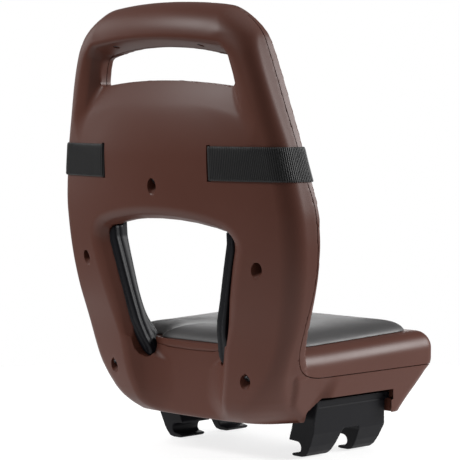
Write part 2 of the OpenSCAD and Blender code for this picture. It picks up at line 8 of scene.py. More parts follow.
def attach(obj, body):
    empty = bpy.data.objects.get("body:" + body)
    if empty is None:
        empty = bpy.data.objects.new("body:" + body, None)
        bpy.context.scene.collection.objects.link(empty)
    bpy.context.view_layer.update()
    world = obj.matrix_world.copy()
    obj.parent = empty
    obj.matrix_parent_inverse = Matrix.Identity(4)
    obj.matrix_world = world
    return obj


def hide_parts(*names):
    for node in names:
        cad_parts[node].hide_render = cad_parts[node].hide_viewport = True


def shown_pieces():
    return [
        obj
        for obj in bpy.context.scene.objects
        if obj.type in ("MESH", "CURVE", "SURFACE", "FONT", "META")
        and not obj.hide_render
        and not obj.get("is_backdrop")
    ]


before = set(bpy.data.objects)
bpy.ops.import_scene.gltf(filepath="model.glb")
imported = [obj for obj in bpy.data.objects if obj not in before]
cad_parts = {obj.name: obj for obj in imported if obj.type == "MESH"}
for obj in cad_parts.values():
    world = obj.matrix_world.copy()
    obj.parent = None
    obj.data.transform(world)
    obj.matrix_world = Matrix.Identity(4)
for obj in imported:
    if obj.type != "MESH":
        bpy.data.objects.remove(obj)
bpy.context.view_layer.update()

YS = 130.0  # shapes are written with y measured as in the part's source, then moved back by this

# ------------------------------------------------------------------ camera
cam_data = bpy.data.cameras.new("camera")
cam = bpy.data.objects.new("camera", cam_data)
bpy.context.scene.collection.objects.link(cam)
bpy.context.scene.camera = cam
cam_data.sensor_width = 36.0
cam_data.lens = 36.0 * 2183.6 / 460.0
cam_data.clip_start, cam_data.clip_end = 0.05, 50.0
cam.location = (1.6476, -1.6777, 0.3785)
fw = Vector((-0.70577, 0.70577, -0.06157)).normalized()
rt = Vector((1, 1, 0)).normalized()
up = rt.cross(fw).normalized()
cam.rotation_mode = "QUATERNION"
cam.rotation_quaternion = Matrix((rt, up, -fw)).transposed().to_quaternion()

# ------------------------------------------------------------------ tables and fields, millimetres


def pchip(tab, x):
    t = np.array(tab, float)
    X, Y = t[:, 0], t[:, 1]
    h = np.diff(X)
    d = np.diff(Y) / h
    m = np.zeros_like(Y)
    m[0], m[-1] = d[0], d[-1]
    for i in range(1, len(X) - 1):
        a, b = d[i - 1], d[i]
        if a * b > 0:
            m[i] = 3 * (h[i - 1] + h[i]) / ((2 * h[i] + h[i - 1]) / a + (h[i] + 2 * h[i - 1]) / b)
    x = np.clip(x, X[0], X[-1])
    i = np.clip(np.searchsorted(X, x, side="right") - 1, 0, len(X) - 2)
    s = (x - X[i]) / h[i]
    return ((1 + 2 * s) * (1 - s) ** 2 * Y[i] + s * (1 - s) ** 2 * h[i] * m[i]
            + s * s * (3 - 2 * s) * Y[i + 1] + s * s * (s - 1) * h[i] * m[i + 1])


ZS = np.arange(0.0, 520.0, 0.5)


def soften(v, sigma):
    if sigma <= 0:
        return v
    n = int(sigma * 8)
    k = np.exp(-0.5 * (np.arange(-n, n + 1) * 0.5 / sigma) ** 2)
    k /= k.sum()
    left = v[0] + (v[1] - v[0]) * np.arange(-n, 0)
    right = v[-1] + (v[-1] - v[-2]) * np.arange(1, n + 1)
    return np.convolve(np.concatenate([left, v, right]), k, mode="valid")


class Table:
    """A smooth function of height and its slope."""

    def __init__(self, values, sigma=4.0):
        self.v = soften(values, sigma)
        self.d = np.gradient(self.v, ZS)

    def __call__(self, z):
        return np.interp(z, ZS, self.v)

    def slope(self, z):
        return np.interp(z, ZS, self.d)


def sstep(a, b, x):
    t = np.clip((x - a) / (b - a), 0, 1)
    return t * t * (3 - 2 * t)


def rmax(a, b, r):
    r = np.maximum(r, 1e-4)
    u = np.maximum(a + r, 0)
    v = np.maximum(b + r, 0)
    return np.minimum(np.maximum(a, b), -r) + np.sqrt(u * u + v * v)


def rmin(a, b, r):
    return -rmax(-a, -b, r)


def chaikin(p, n):
    p = np.array(p, float)
    for _ in range(n):
        q = np.roll(p, -1, 0)
        p = np.stack([p * 0.75 + q * 0.25, p * 0.25 + q * 0.75], 1).reshape(-1, 2)
    return p


class Outline:
    """Signed distance to a closed outline, from a fine table; inside is negative."""

    def __init__(self, pts, rounds=3, step=1.0, margin=60.0):
        p = chaikin(pts, rounds)
        self.step = step
        self.lo = p.min(0) - margin
        n = np.ceil((p.max(0) + margin - self.lo) / step).astype(int) + 1
        gx = self.lo[0] + step * np.arange(n[0])
        gy = self.lo[1] + step * np.arange(n[1])
        X, Y = np.meshgrid(gx, gy, indexing="ij")
        best = np.full(X.shape, 1e9)
        odd = np.zeros(X.shape, bool)
        for a, b in zip(p, np.roll(p, -1, 0)):
            e = b - a
            l2 = max(e @ e, 1e-12)
            t = np.clip(((X - a[0]) * e[0] + (Y - a[1]) * e[1]) / l2, 0, 1)
            best = np.minimum(best, (X - a[0] - t * e[0]) ** 2 + (Y - a[1] - t * e[1]) ** 2)
            if a[1] != b[1]:
                odd ^= ((a[1] > Y) != (b[1] > Y)) & (X < e[0] * (Y - a[1]) / (b[1] - a[1]) + a[0])
        self.g = np.sqrt(best) * np.where(odd, -1, 1)
        self.n = n

    def __call__(self, x, y):
        u = np.clip((x - self.lo[0]) / self.step, 0, self.n[0] - 1.001)
        v = np.clip((y - self.lo[1]) / self.step, 0, self.n[1] - 1.001)
        i, j = u.astype(np.int32), v.astype(np.int32)
        u, v = u - i, v - j
        g = self.g
        return (g[i, j] * (1 - u) * (1 - v) + g[i + 1, j] * u * (1 - v)
                + g[i, j + 1] * (1 - u) * v + g[i + 1, j + 1] * u * v)


def fillet(pts, r, n=4):
    """Closed outline with its corners rounded, never by more than the sides allow."""
    p = [np.array(q, float) for q in pts]
    out = []
    for i in range(len(p)):
        a, b, c = p[i - 1], p[i], p[(i + 1) % len(p)]
        u, v = a - b, c - b
        lu, lv = np.linalg.norm(u), np.linalg.norm(v)
        u, v = u / lu, v / lv
        half = 0.5 * math.acos(max(-1.0, min(1.0, float(u @ v))))
        t = min(r / max(math.tan(half), 1e-3), 0.45 * lu, 0.45 * lv)
        p0, p2 = b + u * t, b + v * t
        for k in range(n + 1):
            s_ = k / n
            out.append((1 - s_) ** 2 * p0 + 2 * s_ * (1 - s_) * b + s_ * s_ * p2)
    return out


def mirrored(right):
    """Outline from its right half, top to bottom."""
    return right + [[-x, z] for x, z in reversed(right) if abs(x) > 1e-6]


# outline of the back by height
half_w = [[40, 115], [52, 121], [66, 128], [80, 134.5], [88, 138], [98, 141.5], [117, 148], [135, 155],
          [154, 161.5], [172, 167], [190, 171], [204, 173.5], [218, 175], [236, 176], [255, 176], [273, 174],
          [292, 170.5], [310, 167], [328, 163], [347, 157.5], [365, 152], [384, 146.5], [402, 141], [420, 135],
          [434, 130], [448, 124], [475, 111.5], [500, 100]]
rear_y = [[40, 43], [43, 37], [48, 30], [56, 23], [66, 18.5], [85, 14], [117, 10.5], [135, 8], [170, 0.5],
          [204, -5.5], [236, -10], [273, -14], [310, -16], [347, -17.5], [384, -19], [420, -19.8], [438, -20], [500, -20]]
part_y = [[88, 100], [88.5, 88], [91, 75], [96, 64], [103, 57], [117, 50.5], [135, 48.5], [154, 48],
          [172, 49], [190, 50], [204, 50], [218, 49], [236, 48], [255, 46.2], [273, 43.5], [292, 38.1], [310, 34.2],
          [328, 31.4], [347, 29.2], [365, 27], [384, 24.8], [402, 23], [420, 21.6], [434, 20.4], [448, 19], [462, 17.5], [476, 17], [500, 17]]
rim_y = [[40, 110], [117, 62], [135, 57], [154, 55], [172, 54.5], [190, 54.5], [204, 54.3], [218, 53.7], [236, 53],
         [255, 52], [273, 50], [292, 46.5], [310, 43], [328, 40.8], [347, 39], [365, 37.3], [384, 35.5], [402, 33.7],
         [420, 32], [434, 30.5], [448, 29], [476, 26], [500, 24]]
corner_r = [[40, 38], [66, 26], [98, 14], [117, 12], [135, 13], [172, 15], [236, 17], [292, 16], [347, 14], [402, 12], [434, 15], [455, 17], [475, 17]]
dish_c = [[100, 0.0006], [150, 0.00132], [425, 0.00132], [455, 0.0007], [466, 0.0001], [476, 0]]
pdish_c = [[100, 0.0006], [118, 0.0006], [150, 0.00132], [360, 0.00132], [384, 0.001], [400, 0.00094], [434, 0.00094], [455, 0.0006], [466, 0], [476, 0]]

Wt = Table(pchip(half_w, ZS) - 0.25, 5.0)
Pt = Table(pchip(part_y, ZS), 3.0)
Rt = Table(np.where(ZS < 66, pchip(rear_y, ZS), soften(pchip(rear_y, ZS), 6.0)), 1.5)
Ct = Table(pchip(corner_r, ZS), 6.0)
Dt = Table(pchip(dish_c, ZS), 5.0)
At = Table(pchip(rim_y, ZS) - pchip(dish_c, ZS) * pchip(half_w, ZS) ** 2, 5.0)
PDt = Table(pchip(pdish_c, ZS), 5.0)
ARC = 1 / (2 * 570.0)

seat_half = Table(pchip([[40, 129.5], [66, 134.5], [80, 137], [88, 138.2], [98, 138.5], [140, 138.5]], ZS), 1.5)
seat_front = Table(pchip([[40, 236], [52, 246], [66, 259], [80, 271.5], [88, 278.6], [94, 280], [140, 280]], ZS), 1.2)


window_rear = Outline(mirrored([[0, 258], [26, 257.3], [50, 255], [74, 250.5], [90, 246], [99, 241], [105.5, 234], [108.5, 225], [103.5, 204],
                                [93, 170], [83, 135], [77.5, 119], [75, 100], [71, 80], [64, 60], [54, 20]]), 3)
window_front = Outline(fillet(mirrored([[0, 251], [26, 250.3], [50, 248], [74, 243.8], [88, 240.2], [93.2, 236.5], [94.7, 231], [94.3, 222], [89, 204],
                                        [80, 170], [72, 135], [67.5, 119], [65, 100], [64, 80], [63, 60], [62, 20]]), 4.0), 1)
hand_slot = Outline([[s / 8 * 95, 427.5 - 10.5 * (s / 8) ** 2] for s in range(-8, 9)]
                    + [[98.5, 409], [101, 399]]
                    + [[s / 8 * 101, 394 - 7.4 * (s / 8) ** 2] for s in range(8, -9, -1)]
                    + [[-101, 399], [-98.5, 409]], 2, 0.5, 60)
side_cut = Outline([[92, -20], [92, 51], [105, 66], [222, 66], [222, 55], [219.6, 54], [219.6, -20]], 0, 1.0, 160)
LEG_END = [[57, 131], [71.3, 131], [70, 118], [67.6, 109], [63.5, 103.2], [58.5, 100.2], [54.4, 100.8], [51.6, 104.5], [51, 111], [52.6, 118]]
leg_end = Outline(fillet(LEG_END, 2.0), 0, 0.5, 40)
hand_a = Table(pchip([[300, 107], [350, 105], [370, 103], [388, 101], [400, 99.5], [417, 96], [430, 93], [460, 90]], ZS), 3.0)
hand_m = Table(pchip([[300, 3.2], [350, 2.9], [370, 1.75], [388, 1.2], [400, 0.9], [417, 0.58], [430, 0.42], [460, 0.3]], ZS), 3.0)
seat_rear = Table(pchip([[40, 92], [60, 66], [80, 60], [100, 50], [115, 44], [140, 44]], ZS), 3.0)
part_line = Outline([[y, z] for z, y in part_y if z < 490] + [[17, 640], [-300, 640], [-300, -200], [500, -200], [500, 88]], 1, 0.5, 0)


def back_field(x, y, z):
    ax = np.abs(x)
    draft = 3.2 * np.tanh(np.maximum(Pt(z) - y, 0) / 25)
    side = (ax - Wt(z) + draft) / np.sqrt(1 + Wt.slope(z) ** 2)
    top = (z - (474.8 - 0.00068 * x * x)) / np.sqrt(1 + (0.00136 * x) ** 2)
    rs = Rt.slope(z)
    rear = (Rt(z) + ARC * x * x - y) / np.sqrt(1 + rs * rs + (2 * ARC * x) ** 2)
    t = sstep(-38, 14, top - side)
    f = rmax(side, top, 28)
    f = rmax(f, rear, Ct(z) * (1 - t) + 35 * t)
    c = Dt(z)
    F = At(z) + c * x * x
    fs = At.slope(z) + Dt.slope(z) * x * x
    front = (y - F) / np.sqrt(1 + fs * fs + (2 * c * x) ** 2)
    f = rmax(f, front, 2.6 + 5.4 * t)
    return rmax(f, 40 - z, 1.5)


def seat_field(x, y, z):
    ax = np.abs(x)
    S, Fr = seat_half(z), seat_front(z)
    S = S - np.maximum(S - Wt(z), 0) * (1 - sstep(86 + 0.45 * (z - 40), 104 + 0.45 * (z - 40), y))
    a = (ax - S) / np.sqrt(1 + seat_half.slope(z) ** 2)
    b = (y - (Fr - 2.5 * np.minimum(ax / (S - 13), 1) ** 2)) / np.sqrt(1 + seat_front.slope(z) ** 2)
    f = rmax(a, b, 13.0)
    top = z - (119.5 + 5 * np.maximum(0, (y - 100) / 160))
    f = rmax(f, top, 20.0)
    f = rmax(f, (seat_rear(z) - y) / np.sqrt(1 + seat_rear.slope(z) ** 2), 6.0)
    return rmax(f, 40 - z, 1.5)


def soft_pos(v, k):
    return 0.5 * (v + np.sqrt(v * v + k * k))


def hand_field(x, y, z):
    """Negative inside the hand-hold's opening and its funnel."""
    ax = np.sqrt(x * x + 9)
    slot = hand_slot(x, z)
    u = y - (Rt(z) + ARC * x * x)
    floor = (342 + 2.6 * u + 0.035 * u * (20 - u) - z) / 2.85
    m = hand_m(z)
    wall = (ax - (hand_a(z) + m * soft_pos(5 - y, 3.0))) / np.sqrt(1 + m * m)
    zm = 437.5 - 7 * (ax / 103) ** 2
    zt = 427.5 - 10.5 * (ax / 96) ** 2
    s = np.clip((y + 19.5 - ARC * x * x) / 30, 0, 1)
    roof = (z - (zm - (zm - zt) * (s + 0.02) ** 0.7)) / 1.15
    f = rmax(rmax(floor, wall, 4.0), roof, 7.0)
    f = rmax(f, y - 13.0, 1.5)
    return np.minimum(f, slot)


def recess_field(x, y, z):
    """Negative inside the window and inside the recess below it."""
    g = window_rear(x, z)
    u = y - (Rt(z) + ARC * x * x)
    t1 = np.clip(0.075 * u, -0.3, 1)
    d2 = np.clip(1.05 * u, -3, 10 + 24 * sstep(118, 84, z))
    hole = rmax((g * (1 - t1) + window_front(x, z) * t1) / np.where(t1 < 1, 1.3, 1.0), 122.0 - z, 1.0)
    panel = rmax((g + d2) / 1.42, y - 40.5, 13.0)
    panel = np.maximum(panel, z - 123.0)
    legs = np.maximum(leg_end(np.abs(x), z) - 0.5, y - 46.3)
    return np.minimum(np.minimum(hole, panel), legs)


def body_field(x, y, z):
    fb = back_field(x, y, z)
    fs = seat_field(x, y, z)
    f = rmin(fb, fs, 0.4 + 6.5 * sstep(92, 112, z))
    u = y - (Rt(z) + ARC * x * x)
    f = rmax(f, -recess_field(x, y, z), 1.5 + (2.4 + 2.2 * sstep(120, 160, z)) * sstep(14, 4, u))
    lip = sstep(4, -8, y)
    f = rmax(f, -hand_field(x, y, z), 1.4 + lip * (1.6 + 6.5 * sstep(434, 414, z)))
    ya = y + np.maximum(np.abs(x) - 124, 0) * sstep(150, 200, y)
    f = rmax(f, -np.maximum(side_cut(ya, z), np.abs(x) - 200), 1.0)
    return f


BORES = [[0, -16, 283], [128, 10, 204.5], [-128, 10, 204.5], [99, 19.5, 84], [-99, 19.5, 84]]
S2 = math.sqrt(0.5)


def part_field(x, y, z):
    """Negative behind or below the parting surface."""
    w = Wt(z)
    return part_line(y + PDt(z) * np.maximum(w * w - x * x, -2000), z)


def bores_field(x, y, z):
    f = np.full(np.shape(x), 1e3)
    for bx, by, bz in BORES:
        t = (y - by) * S2 + (z - bz) * S2
        q = (y - by) * S2 - (z - bz) * S2
        r = np.sqrt((x - bx) ** 2 + q * q)
        f = np.minimum(f, np.maximum(r - 6.3, np.abs(t + 9.5) - 20.5))
    for sx in (-63.5, 63.5):
        f = np.minimum(f, np.maximum(np.sqrt((x - sx) ** 2 + (y + 5) ** 2) - 3.6, np.abs(z - 426) - 11))
    for sx in (-70, 70):
        f = np.minimum(f, np.maximum(np.sqrt((x - sx) ** 2 + (y - 252) ** 2) - 6.3, z - 70))
    ax = np.abs(x)
    slot = np.maximum(np.maximum(np.abs(ax - 79) - 2.2, np.abs(z - 310) - 18.5), y - 10)
    return np.minimum(f, slot)


def rear_field(x, y, z):
    b = body_field(x, y, z)
    f = np.maximum(b, part_field(x, y, z))
    return np.maximum(f, -bores_field(x, y, z))


GAP = 0.75


def front_field(x, y, z):
    b = body_field(x, y, z)
    g = GAP * sstep(-6.0, -2.5, b)
    return np.maximum(b, g - part_field(x, y, z))


# ------------------------------------------------------------------ surface from a field


def graded(*spans):
    """Grid lines from spans of (start, end, step)."""
    out = []
    for a, b, h in spans:
        n = max(1, int(round((b - a) / h)))
        out.append(np.linspace(a, b, n + 1)[:-1])
    out.append([spans[-1][1]])
    return np.concatenate(out)


def symmetric(hi, h):
    a = np.arange(h / 2, hi + h, h)
    return np.concatenate([-a[::-1], a])


def contour(f, gx, gy, gz, mirror=False):
    """Mesh of f = 0 with its sharp edges kept: one vertex in each crossed cell, one quad round each crossed edge."""
    ax = [np.asarray(g, float) for g in (gx, gy, gz)]
    n = [len(a) for a in ax]
    F = np.empty(n, np.float32)
    first = n[0] // 2 if mirror else 0
    for i0 in range(first, n[0], 12):
        X, Y, Z = np.meshgrid(ax[0][i0:i0 + 12], ax[1], ax[2], indexing="ij")
        F[i0:i0 + 12] = f(X, Y, Z)
    if mirror:
        F[:first] = F[first:][::-1]
    S = F > 0
    P, quads_of, orient = [], [], []
    lin = lambda i, j, k: (i * n[1] + j) * n[2] + k
    for a in range(3):
        sl0 = [slice(None)] * 3
        sl1 = [slice(None)] * 3
        sl0[a], sl1[a] = slice(None, -1), slice(1, None)
        i, j, k = np.nonzero(S[tuple(sl0)] != S[tuple(sl1)])
        idx = np.stack([i, j, k], 1)
        e = np.zeros(3, int)
        e[a] = 1
        f0 = F[i, j, k].astype(float)
        f1 = F[i + e[0], j + e[1], k + e[2]].astype(float)
        p0 = np.stack([ax[0][i], ax[1][j], ax[2][k]], 1)
        step = ax[a][idx[:, a] + 1] - ax[a][idx[:, a]]
        ta, tb = np.zeros(len(i)), np.ones(len(i))
        fa, fb = f0.copy(), f1.copy()
        for it in range(4):
            t = ta + (tb - ta) * np.clip(fa / (fa - fb), 0.08, 0.92)
            q = p0.copy()
            q[:, a] += t * step
            v = f(q[:, 0], q[:, 1], q[:, 2])
            same = (v > 0) == (fa > 0)
            ta, fa = np.where(same, t, ta), np.where(same, v, fa)
            tb, fb = np.where(same, tb, t), np.where(same, fb, v)
        t = ta + (tb - ta) * np.clip(fa / (fa - fb), 0, 1)
        q = p0.copy()
        q[:, a] += t * step
        P.append(q)
        b, c = (a + 1) % 3, (a + 2) % 3
        around = []
        for db, dc in ((0, 0), (-1, 0), (-1, -1), (0, -1)):
            m = idx.copy()
            m[:, b] += db
            m[:, c] += dc
            around.append(lin(m[:, 0], m[:, 1], m[:, 2]))
        quads_of.append(np.stack(around, 1))
        orient.append(f0 > 0)
    P = np.concatenate(P)
    Q = np.concatenate(quads_of)
    O = np.concatenate(orient)
    N = grad(f, P, 0.2)
    cells, inv = np.unique(Q.ravel(), return_inverse=True)
    inv = inv.reshape(-1)
    m = len(cells)
    NP = np.repeat(N, 4, 0)
    PP = np.repeat(P, 4, 0)
    bc = lambda w: np.bincount(inv, weights=w, minlength=m)
    cnt = bc(np.ones(len(inv)))
    mass = np.stack([bc(PP[:, i]) for i in range(3)], 1) / cnt[:, None]
    d = ((PP - mass[inv]) * NP).sum(1)
    A = np.zeros((m, 3, 3))
    B = np.zeros((m, 3))
    for i in range(3):
        B[:, i] = bc(NP[:, i] * d)
        for j in range(i, 3):
            A[:, i, j] = A[:, j, i] = bc(NP[:, i] * NP[:, j])
    A[:, [0, 1, 2], [0, 1, 2]] += (0.05 * cnt)[:, None]
    V = mass + np.linalg.solve(A, B[:, :, None])[:, :, 0]
    ck = cells % n[2]
    cj = (cells // n[2]) % n[1]
    ci = cells // (n[1] * n[2])
    c0 = np.stack([ax[0][ci], ax[1][cj], ax[2][ck]], 1)
    c1 = np.stack([ax[0][np.minimum(ci + 1, n[0] - 1)], ax[1][np.minimum(cj + 1, n[1] - 1)], ax[2][np.minimum(ck + 1, n[2] - 1)]], 1)
    V = np.clip(V, c0, c1)
    faces = inv.reshape(-1, 4)
    faces[O] = faces[O][:, ::-1]
    return V, faces


def grad(f, P, e):
    g = np.empty_like(P)
    for i in range(3):
        a, b = P.copy(), P.copy()
        a[:, i] += e
        b[:, i] -= e
        g[:, i] = f(a[:, 0], a[:, 1], a[:, 2]) - f(b[:, 0], b[:, 1], b[:, 2])
    return g / np.maximum(np.linalg.norm(g, axis=1, keepdims=True), 1e-9)


def piece(name, V, faces, material, body="seat", sharp=38.0):
    """A closed mesh in the row frame from millimetre points, smooth but for its sharp edges."""
    V = (np.asarray(V, float) - np.array([0, YS, 0])) / 1000
    me = bpy.data.meshes.new(name)
    me.vertices.add(len(V))
    me.vertices.foreach_set("co", V.astype(np.float32).ravel())
    k = faces.shape[1]
    me.loops.add(len(faces) * k)
    me.polygons.add(len(faces))
    me.loops.foreach_set("vertex_index", faces.astype(np.int32).ravel())
    me.polygons.foreach_set("loop_start", np.arange(0, len(faces) * k, k, dtype=np.int32))
    me.update(calc_edges=True)
    me.validate()
    me.polygons.foreach_set("use_smooth", np.ones(len(me.polygons), bool))
    if sharp:
        me.set_sharp_from_angle(angle=math.radians(sharp))
    o = bpy.data.objects.new(name, me)
    bpy.context.scene.collection.objects.link(o)
    me.materials.append(material)
    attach(o, body)
    return o


# ------------------------------------------------------------------ materials


def principled(name, base, rough, spec=0.5, sheen=None, coat=None, metallic=0.0):
    m = bpy.data.materials.new(name)
    m.use_nodes = True
    nt = m.node_tree
    b = nt.nodes["Principled BSDF"]
    b.inputs["Base Color"].default_value = (*base, 1)
    b.inputs["Roughness"].default_value = rough
    b.inputs["Specular IOR Level"].default_value = spec
    b.inputs["Metallic"].default_value = metallic
    if sheen:
        b.inputs["Sheen Weight"].default_value = sheen[0]
        b.inputs["Sheen Roughness"].default_value = sheen[1]
    if coat:
        b.inputs["Coat Weight"].default_value = coat[0]
        b.inputs["Coat Roughness"].default_value = coat[1]
    return m, nt, b


def add(nt, kind, **inputs):
    n = nt.nodes.new(kind)
    for k, v in inputs.items():
        if k.startswith("_"):
            setattr(n, k[1:], v)
        else:
            n.inputs[k.replace("__", " ")].default_value = v
    return n


def coords(nt, scale=1.0):
    tc = nt.nodes.new("ShaderNodeTexCoord")
    mp = nt.nodes.new("ShaderNodeMapping")
    mp.inputs["Scale"].default_value = (scale,) * 3 if not hasattr(scale, "__len__") else scale
    nt.links.new(tc.outputs["Object"], mp.inputs["Vector"])
    return mp


def grain(nt, bsdf, scale, strength, distance, detail=2.0, second=None):
    """Fine moulded grain as bump."""
    mp = coords(nt)
    n = add(nt, "ShaderNodeTexNoise", Scale=scale, Detail=detail, Roughness=0.55)
    nt.links.new(mp.outputs[0], n.inputs["Vector"])
    bump = add(nt, "ShaderNodeBump", Strength=strength, Distance=distance)
    nt.links.new(n.outputs["Fac"], bump.inputs["Height"])
    out = bump
    if second:
        n2 = add(nt, "ShaderNodeTexNoise", Scale=second[0], Detail=1.0)
        nt.links.new(mp.outputs[0], n2.inputs["Vector"])
        b2 = add(nt, "ShaderNodeBump", Strength=second[1], Distance=second[2])
        nt.links.new(n2.outputs["Fac"], b2.inputs["Height"])
        nt.links.new(bump.outputs[0], b2.inputs["Normal"])
        out = b2
    nt.links.new(out.outputs[0], bsdf.inputs["Normal"])
    return mp


def vary(nt, bsdf, mp, scale, base, spread, rough, rspread):
    """Slight variation of colour and roughness over the surface."""
    n = add(nt, "ShaderNodeTexNoise", Scale=scale, Detail=4.0, Roughness=0.6)
    nt.links.new(mp.outputs[0], n.inputs["Vector"])
    r = nt.nodes.new("ShaderNodeValToRGB")
    r.color_ramp.elements[0].position, r.color_ramp.elements[1].position = 0.3, 0.7
    r.color_ramp.elements[0].color = (*[c * (1 - spread) for c in base], 1)
    r.color_ramp.elements[1].color = (*[c * (1 + spread) for c in base], 1)
    nt.links.new(n.outputs["Fac"], r.inputs["Fac"])
    nt.links.new(r.outputs["Color"], bsdf.inputs["Base Color"])
    mr = nt.nodes.new("ShaderNodeMapRange")
    mr.inputs["From Min"].default_value, mr.inputs["From Max"].default_value = 0.3, 0.7
    mr.inputs["To Min"].default_value, mr.inputs["To Max"].default_value = rough - rspread, rough + rspread
    nt.links.new(n.outputs["Fac"], mr.inputs["Value"])
    nt.links.new(mr.outputs[0], bsdf.inputs["Roughness"])


def plastic(name, base, rough, grain_scale, grain_strength, spread=0.05, rspread=0.04, spec=0.5):
    m, nt, b = principled(name, base, rough, spec)
    mp = grain(nt, b, grain_scale, grain_strength, 0.00012, 3.0)
    vary(nt, b, mp, 9.0, base, spread, rough, rspread)
    return m


def moulded(name, base, rough, scale, strength, spread=0.05, rspread=0.04, spec=0.5, dist=0.0001, blotch=9.0):
    """Moulded plastic or skin: fine grain, faint flow marks, slight variation of colour and gloss."""
    m, nt, b = principled(name, base, rough, spec)
    mp = grain(nt, b, scale, strength, dist, 3.0, second=(14.0, 0.05, 0.0006))
    vary(nt, b, mp, blotch, base, spread, rough, rspread)
    return m


M_SHELL = moulded("shell_satin_plastic", (0.0800, 0.0275, 0.0183), 0.42, 1500, 0.16, 0.04, 0.03, 0.22)
M_CLAMP = moulded("clamp_glass_filled_plastic", (0.0048, 0.0048, 0.0064), 0.46, 900, 0.55, 0.18, 0.07, 0.13, 0.00014, 30.0)
M_PAD = moulded("pad_moulded_skin", (0.0030, 0.0032, 0.0048), 0.44, 1300, 0.10, 0.08, 0.04, 0.15)
M_SEAT = moulded("seat_pad_skin", (0.048, 0.0462, 0.0468), 0.52, 620, 0.85, 0.10, 0.05, 0.45, 0.00022, 24.0)
M_BUCKLE = moulded("buckle_plastic", (0.0065, 0.0065, 0.0072), 0.40, 1200, 0.25, 0.10, 0.05, 0.28)


def webbing(name, base):
    """Flat woven strap: warp lines along it, dull nylon with a soft sheen."""
    m, nt, b = principled(name, base, 0.52, 0.34, sheen=(0.04, 0.5))
    mp = coords(nt)
    w = add(nt, "ShaderNodeTexWave", Scale=330.0, Distortion=1.2, Detail=2.0, _wave_type="BANDS", _bands_direction="Z")
    w.inputs["Detail Scale"].default_value = 3.0
    n = add(nt, "ShaderNodeTexNoise", Scale=2600.0, Detail=2.0, Roughness=0.6)
    nt.links.new(mp.outputs[0], w.inputs["Vector"])
    nt.links.new(mp.outputs[0], n.inputs["Vector"])
    b1 = add(nt, "ShaderNodeBump", Strength=0.35, Distance=0.00012)
    b2 = add(nt, "ShaderNodeBump", Strength=0.45, Distance=0.0001)
    nt.links.new(w.outputs["Fac"], b1.inputs["Height"])
    nt.links.new(n.outputs["Fac"], b2.inputs["Height"])
    nt.links.new(b1.outputs[0], b2.inputs["Normal"])
    nt.links.new(b2.outputs[0], b.inputs["Normal"])
    r = nt.nodes.new("ShaderNodeValToRGB")
    r.color_ramp.elements[0].color = (*[c * 0.6 for c in base], 1)
    r.color_ramp.elements[1].color = (*[c * 1.35 for c in base], 1)
    n3 = add(nt, "ShaderNodeTexNoise", Scale=240.0, Detail=5.0, Roughness=0.7)
    nt.links.new(mp.outputs[0], n3.inputs["Vector"])
    nt.links.new(n3.outputs["Fac"], r.inputs["Fac"])
    nt.links.new(r.outputs["Color"], b.inputs["Base Color"])
    return m


def metal(name, base, rough, scratch=(40, 600, 40)):
    """Zinc plate: fine brushing, faint spangle and dull patches."""
    m, nt, b = principled(name, base, rough, 0.5, metallic=1.0)
    mp = coords(nt, scratch)
    n = add(nt, "ShaderNodeTexNoise", Scale=3.0, Detail=6.0, Roughness=0.65)
    nt.links.new(mp.outputs[0], n.inputs["Vector"])
    bump = add(nt, "ShaderNodeBump", Strength=0.12, Distance=0.00008)
    nt.links.new(n.outputs["Fac"], bump.inputs["Height"])
    nt.links.new(bump.outputs[0], b.inputs["Normal"])
    vary(nt, b, coords(nt), 55.0, base, 0.12, rough, 0.10)
    return m


M_WEB = webbing("webbing_black", (0.0048, 0.0048, 0.0052))
M_ZINC = metal("zinc_plated_steel", (0.62, 0.63, 0.65), 0.34)
M_SCREW = metal("black_zinc_steel", (0.055, 0.055, 0.058), 0.42)

# ------------------------------------------------------------------ shells
gx = symmetric(178.0, 2.4)
gy = graded((-22.5, 58, 1.75), (58, 283, 3.0))
gz = graded((38, 382, 2.4), (382, 437, 1.7), (437, 477, 2.2))
V, Fc = contour(rear_field, gx, gy, gz, True)
shell_rear = piece("shell_rear", V, Fc, M_SHELL)
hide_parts("rear_shell")
V, Fc = contour(front_field, gx, gy, gz, True)
shell_front = piece("shell_front", V, Fc, M_SHELL)
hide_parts("front_shell")

# ------------------------------------------------------------------ back pad
pad_outer = Outline(fillet(mirrored([[0, 372], [60, 370], [96, 362], [112, 350], [127, 330], [135, 306], [139, 280], [141.5, 250],
                                     [141, 225], [138, 195], [132, 168], [122, 146], [108, 134], [95, 123], [60, 122.6]]), 9.0, 6), 1, 1.0, 50)
pad_inner = Outline(fillet(mirrored([[0, 263], [50, 260.5], [75, 254], [83.6, 244], [83.2, 228], [77, 205], [67.6, 170], [61.6, 150], [58.6, 138],
                                     [55.6, 124], [53, 116], [51.2, 109], [51, 104], [51, 60]]), 10.0, 6), 1, 0.5, 60)
hole = Outline(fillet(mirrored([[0, 250.3], [26, 249.6], [50, 247.3], [74, 243], [87.6, 239.4], [92.5, 235.9], [94.0, 230.4], [93.6, 222], [88.3, 204],
                                [79.3, 170], [71.3, 136], [67.0, 119], [66.0, 100]]), 4.0, 4), 0, 0.5, 60)
leg_y = Table(pchip([[80, 38], [98, 34.5], [105, 33], [114, 29], [124, 25], [140, 20], [168, 16.5], [210, 12], [240, 9.5], [300, 6]], ZS), 3.0)
leg_deep = Table(pchip([[80, 12], [105, 13], [112, 17], [124, 19], [140, 18], [168, 18.5], [210, 21], [240, 19.5], [300, 19]], ZS), 3.0)
ch_a = Outline(fillet(mirrored([[0, 348], [60, 345], [92, 338], [106, 318], [112, 290], [0.4, 282]]), 14.0, 6), 1, 1.0, 50)


